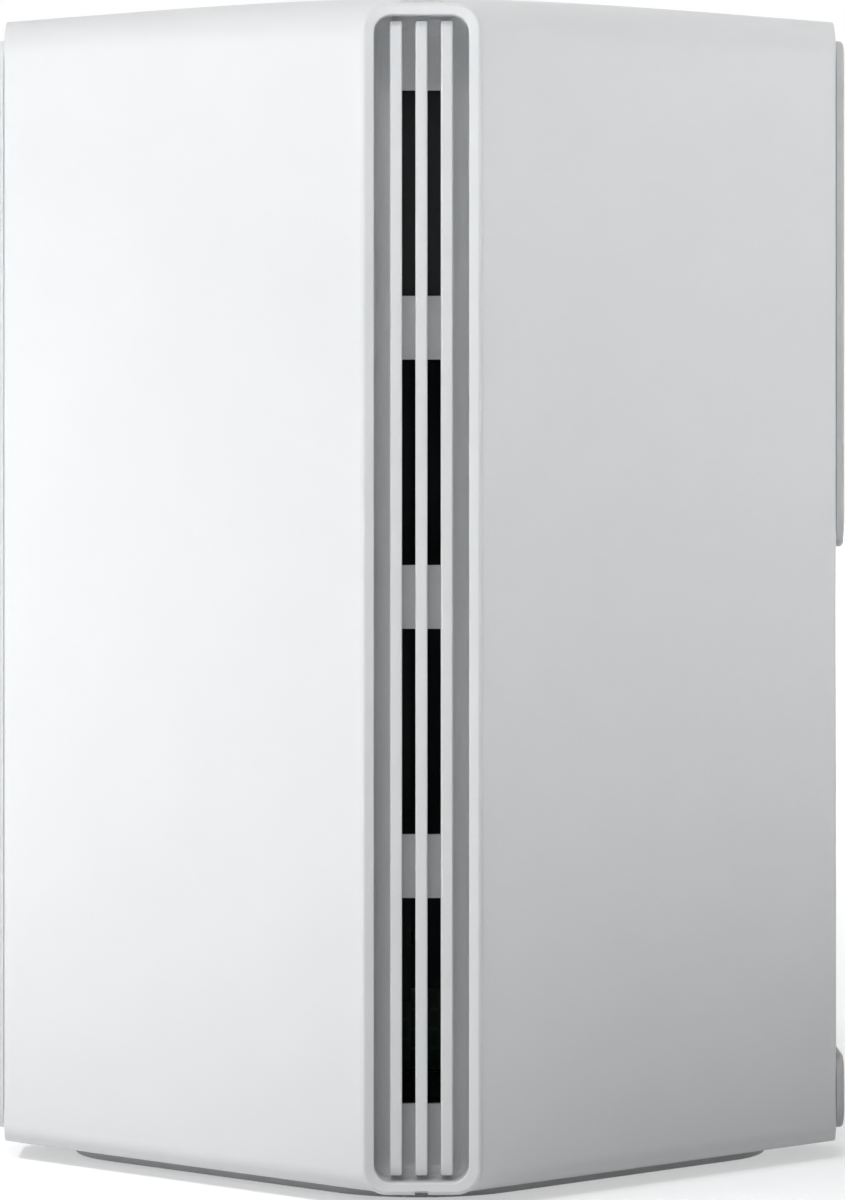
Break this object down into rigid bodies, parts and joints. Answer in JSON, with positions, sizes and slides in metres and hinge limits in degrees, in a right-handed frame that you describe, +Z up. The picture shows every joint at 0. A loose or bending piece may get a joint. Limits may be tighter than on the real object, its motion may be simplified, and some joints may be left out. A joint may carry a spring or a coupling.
{
  "type": "wireless router",
  "caption": "Square tower wireless router with corner vents, a rear socket strip with a pairing button, and boards and heat sinks inside.",
  "frame": {"origin": "centre of the foot pad underside, on the surface the router stands on", "axes": "+Z up the tower, +Y out of the socket side, -Y out of the front strip, +X and -X out of the vent grilles"},
  "size_m": [0.1328, 0.1328, 0.1785],
  "materials": {
    "white_housing": "fine satin",
    "grey_panel": "fine matt",
    "foot_rubber": "matt",
    "shield_tin": "bright tin plate",
    "screw_steel": "zinc plate",
    "dark_aluminium": "black anodised",
    "thermal_silicone": "matt",
    "circuit_board": "solder mask",
    "clear_light_guide": "clear",
    "lamp_resin": "clear resin",
    "black_plastic": "matt",
    "cable_jacket": "satin"
  },
  "bodies": {
    "router": {"aerial_1": "circuit_board", "aerial_2": "circuit_board", "aerial_3": "circuit_board", "aerial_4": "circuit_board", "aerial_lead_1": "cable_jacket", "aerial_lead_2": "cable_jacket", "aerial_lead_3": "cable_jacket", "aerial_lead_4": "cable_jacket", "base_cover": "white_housing", "base_screw_1": "screw_steel", "base_screw_2": "screw_steel", "base_screw_3": "screw_steel", "base_screw_4": "screw_steel", "board_screw_1": "screw_steel", "board_screw_2": "screw_steel", "board_screw_3": "screw_steel", "board_screw_4": "screw_steel", "foot_pad": "foot_rubber", "front_strip": "white_housing", "inner_frame": "black_plastic", "lan_body_1": "black_plastic", "lan_body_2": "black_plastic", "lan_body_3": "black_plastic", "lan_shield_1": "shield_tin", "lan_shield_2": "shield_tin", "lan_shield_3": "shield_tin", "light_board": "circuit_board", "light_board_lead": "cable_jacket", "main_board": "circuit_board", "outer_shell": "white_housing", "pairing_switch": "black_plastic", "port_panel": "grey_panel", "power_inlet": "black_plastic", "power_inlet_pin": "shield_tin", "processor": "black_plastic", "processor_heat_sink": "dark_aluminium", "processor_thermal_pad": "thermal_silicone", "radio_chip_1": "black_plastic", "radio_chip_2": "black_plastic", "radio_heat_sink": "dark_aluminium", "radio_shield_1": "shield_tin", "radio_shield_2": "shield_tin", "radio_thermal_pad_1": "thermal_silicone", "radio_thermal_pad_2": "thermal_silicone", "rear_strip_lower": "white_housing", "rear_strip_upper": "white_housing", "reset_switch": "black_plastic", "sink_screw_1": "screw_steel", "sink_screw_2": "screw_steel", "status_lamp": "lamp_resin", "status_light_guide": "clear_light_guide", "vent_grille_left": "white_housing", "vent_grille_right": "white_housing"},
    "pairing_push": {"pairing_button": "white_housing", "pairing_actuator": "black_plastic"},
    "reset_push": {"reset_actuator": "black_plastic"}
  },
  "joints": [
    {"name": "pairing_button_press", "type": "slide", "parent": "router", "child": "pairing_push", "axis": [0, -1, 0], "range_m": [0, 0.0006], "stiffness_N_per_m": 2500, "springref_m": -0.0002},
    {"name": "reset_press", "type": "slide", "parent": "router", "child": "reset_push", "axis": [0, -1, 0], "range_m": [0, 0.0003], "stiffness_N_per_m": 4000, "springref_m": -0.0001}
  ]
}
